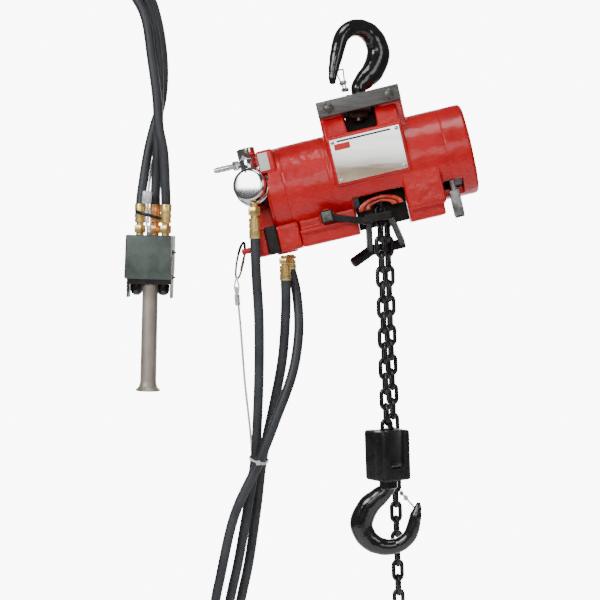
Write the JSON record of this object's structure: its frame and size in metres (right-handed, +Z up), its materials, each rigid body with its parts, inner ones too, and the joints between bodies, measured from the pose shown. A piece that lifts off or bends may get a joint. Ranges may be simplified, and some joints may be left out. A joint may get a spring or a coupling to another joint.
{
  "type": "chain hoist",
  "caption": "Air-powered chain hoist hanging from a swivel hook, with load chain, hook block, limit lever and a hose-fed pull pendant.",
  "frame": {"origin": "the inner crown of the top hook's bowl, where the hoist hangs", "axes": "+Z up along the load line, +X towards the gear case end, -Y towards the nameplate side"},
  "size_m": [0.7035, 0.1289, 1.1201],
  "materials": {
    "red_paint": "glossy enamel over cast aluminium",
    "forged_black": "black oxide and paint, semi-gloss",
    "dark_steel": "dark phosphated steel",
    "bright_steel": "polished or plated steel",
    "brass": "plain brass",
    "hose_rubber": "matt black hose cover",
    "button_black": "glossy moulded black",
    "grey_green_paint": "satin grey-green paint on sheet steel",
    "worn_steel": "worn plain steel pipe",
    "white_plastic": "white nylon"
  },
  "bodies": {
    "hoist_body": {"centre_housing": "red_paint", "motor_housing": "red_paint", "motor_end_cover": "red_paint", "gear_case": "red_paint", "valve_chest": "red_paint", "inlet_manifold": "red_paint", "chain_guide": "red_paint", "inlet_valve_body": "forged_black", "pendant_valve": "forged_black", "hanger_lug": "dark_steel", "suspension_bar_front": "dark_steel", "suspension_bar_rear": "dark_steel", "bar_bolt_left": "dark_steel", "bar_bolt_right": "dark_steel", "motor_cylinder": "dark_steel", "ring_gear": "dark_steel", "snap_hook": "dark_steel", "hose_hanger": "dark_steel", "nameplate": "bright_steel", "inlet_valve_cap": "bright_steel", "load_wheel_bearing_left": "bright_steel", "load_wheel_bearing_right": "bright_steel", "valve_outlet_fitting": "brass", "pilot_fitting_up": "brass", "pilot_fitting_down": "brass", "pendant_fitting_1": "brass", "pendant_fitting_2": "brass", "pendant_fitting_3": "brass", "supply_hose": "hose_rubber", "pilot_hose_up": "hose_rubber", "pilot_hose_down": "hose_rubber", "pendant_cover": "grey_green_paint", "pendant_handle": "worn_steel", "strain_wire": "white_plastic", "cable_tie": "white_plastic"},
    "hook_crosshead": {"hook_trunnion": "dark_steel"},
    "top_hook": {"top_hook": "forged_black", "top_hook_nut": "dark_steel"},
    "top_latch": {"top_hook_latch": "bright_steel"},
    "load_wheel": {"load_wheel": "dark_steel", "wheel_chain": "forged_black"},
    "rotor": {"motor_rotor": "bright_steel", "brake_disc": "dark_steel", "sun_gear": "bright_steel"},
    "planet_1": {"planet_gear_1": "bright_steel"},
    "planet_2": {"planet_gear_2": "bright_steel"},
    "planet_3": {"planet_gear_3": "bright_steel"},
    "lift_block": {"load_chain": "forged_black", "block_half_front": "forged_black", "block_half_rear": "forged_black"},
    "bottom_hook": {"bottom_hook": "forged_black", "bottom_hook_nut": "bright_steel"},
    "bottom_latch": {"bottom_hook_latch": "bright_steel"},
    "slack_run": {"slack_chain": "forged_black", "chain_end_stop": "dark_steel"},
    "limit_lever": {"limit_lever": "forged_black"},
    "inlet_swivel": {"inlet_swivel": "bright_steel", "air_nipple": "bright_steel"},
    "button_up": {"button_up": "button_black"},
    "button_down": {"button_down": "button_black"}
  },
  "joints": [
    {"name": "trunnion_rock", "type": "hinge", "parent": "hoist_body", "child": "hook_crosshead", "pos_m": [0, 0, -0.088], "axis": [0, 1, 0], "range_deg": [-20, 4.5]},
    {"name": "top_hook_swivel", "type": "hinge", "parent": "hook_crosshead", "child": "top_hook", "pos_m": [0, 0, -0.088], "axis": [0, 0, 1], "continuous": true},
    {"name": "top_latch_hinge", "type": "hinge", "parent": "top_hook", "child": "top_latch", "pos_m": [-0.01647, -0.01382, -0.0705], "axis": [-0.6428, 0.766, 0], "range_deg": [0, 32], "stiffness_Nm_per_rad": 0.05, "springref_deg": -17.19},
    {"name": "hook_lift", "type": "slide", "parent": "hoist_body", "child": "lift_block", "axis": [0, 0, 1], "range_m": [-0.019, 0.019]},
    {"name": "slack_chain_run", "type": "slide", "parent": "hoist_body", "child": "slack_run", "axis": [0, 0, 1], "range_m": [-0.0195, 0.0195]},
    {"name": "load_wheel_turn", "type": "hinge", "parent": "hoist_body", "child": "load_wheel", "pos_m": [0.02607, 0, -0.17253], "axis": [0.9806, 0, 0.1959], "range_deg": [-37, 37]},
    {"name": "rotor_turn", "type": "hinge", "parent": "hoist_body", "child": "rotor", "pos_m": [-0.07101, 0, -0.19193], "axis": [0.9806, 0, 0.1959], "range_deg": [-215, 215]},
    {"name": "planet_1_turn", "type": "hinge", "parent": "load_wheel", "child": "planet_1", "pos_m": [0.11037, 0, -0.12999], "axis": [0.9806, 0, 0.1959], "range_deg": [-90, 90]},
    {"name": "planet_2_turn", "type": "hinge", "parent": "load_wheel", "child": "planet_2", "pos_m": [0.11777, -0.02182, -0.16706], "axis": [0.9806, 0, 0.1959], "range_deg": [-90, 90]},
    {"name": "planet_3_turn", "type": "hinge", "parent": "load_wheel", "child": "planet_3", "pos_m": [0.11777, 0.02182, -0.16706], "axis": [0.9806, 0, 0.1959], "range_deg": [-90, 90]},
    {"name": "bottom_hook_swivel", "type": "hinge", "parent": "lift_block", "child": "bottom_hook", "pos_m": [0.02307, -0.031, -0.571], "axis": [0, 0, 1], "continuous": true},
    {"name": "bottom_latch_hinge", "type": "hinge", "parent": "bottom_hook", "child": "bottom_latch", "pos_m": [0.03957, -0.031, -0.589], "axis": [0, 1, 0], "range_deg": [0, 38], "stiffness_Nm_per_rad": 0.05, "springref_deg": -17.19},
    {"name": "limit_lever_rock", "type": "hinge", "parent": "hoist_body", "child": "limit_lever", "pos_m": [-0.04356, -0.056, -0.23233], "axis": [0, 1, 0], "range_deg": [-3.5, 4], "stiffness_Nm_per_rad": 25},
    {"name": "inlet_swivel_turn", "type": "hinge", "parent": "hoist_body", "child": "inlet_swivel", "pos_m": [-0.14216, -0.018, -0.1676], "axis": [-0.1959, 0, 0.9806], "range_deg": [-80, 5]},
    {"name": "button_up_press", "type": "slide", "parent": "hoist_body", "child": "button_up", "axis": [0.0593, 0, 0.9982], "range_m": [0, 0.005], "stiffness_N_per_m": 500, "springref_m": -0.002},
    {"name": "button_down_press", "type": "slide", "parent": "hoist_body", "child": "button_down", "axis": [0.0593, 0, 0.9982], "range_m": [0, 0.005], "stiffness_N_per_m": 500, "springref_m": -0.002}
  ],
  "couplings": [
    {"joint": "slack_chain_run", "follows": "hook_lift", "ratio": -1},
    {"joint": "load_wheel_turn", "follows": "hook_lift", "rad_per_m": -32.258},
    {"joint": "rotor_turn", "follows": "hook_lift", "rad_per_m": -193.55},
    {"joint": "planet_1_turn", "follows": "hook_lift", "rad_per_m": 80.645},
    {"joint": "planet_2_turn", "follows": "hook_lift", "rad_per_m": 80.645},
    {"joint": "planet_3_turn", "follows": "hook_lift", "rad_per_m": 80.645}
  ]
}
